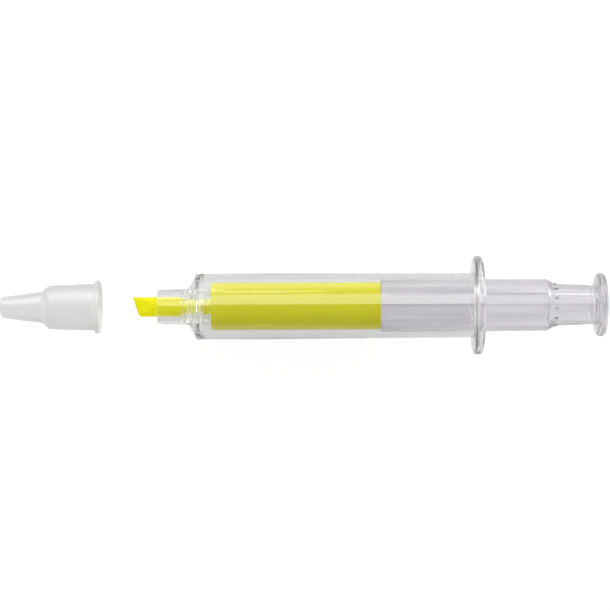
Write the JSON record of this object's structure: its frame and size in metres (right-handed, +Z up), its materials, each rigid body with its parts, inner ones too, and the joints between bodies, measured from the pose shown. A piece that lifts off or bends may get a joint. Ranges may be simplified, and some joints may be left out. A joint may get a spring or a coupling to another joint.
{
  "type": "highlighter",
  "caption": "Syringe-shaped highlighter: clear barrel with finger flange, chisel nib, ink reservoir, plunger-style end plug and a pull-off frosted cap.",
  "frame": {"origin": "centre of the bounding box's bottom face, on the table that the pen lies on", "axes": "+X along the pen from the cap to the thumb rest, +Y across the pen towards the chisel's long corner, +Z up; the pen's own axis climbs 3.37 degrees from the nib to the thumb rest, because the pen lies on its barrel's front corner and its finger flange"},
  "size_m": [0.151, 0.0246, 0.0246],
  "materials": {
    "clear_plastic": "clear, colourless polystyrene, polished",
    "clear_plug": "clear polystyrene with a faint cool tint, polished",
    "frosted_cap": "translucent natural polypropylene, fine matte",
    "nib_fibre": "bonded polyester fibre wet with yellow fluorescent ink",
    "core_fibre": "bundled polyester fibre soaked with yellow fluorescent ink",
    "film": "thin clear polypropylene film"
  },
  "bodies": {
    "pen": {"barrel": "clear_plastic", "nib": "nib_fibre", "ink_reservoir": "core_fibre", "reservoir_film": "film", "plunger_tube": "clear_plug", "thumb_rest": "clear_plug"},
    "cap": {"cap": "frosted_cap"}
  },
  "joints": [
    {"name": "cap_slide", "type": "slide", "parent": "pen", "child": "cap", "axis": [0.9983, 0, 0.0588], "range_m": [0, 0.0222]}
  ]
}
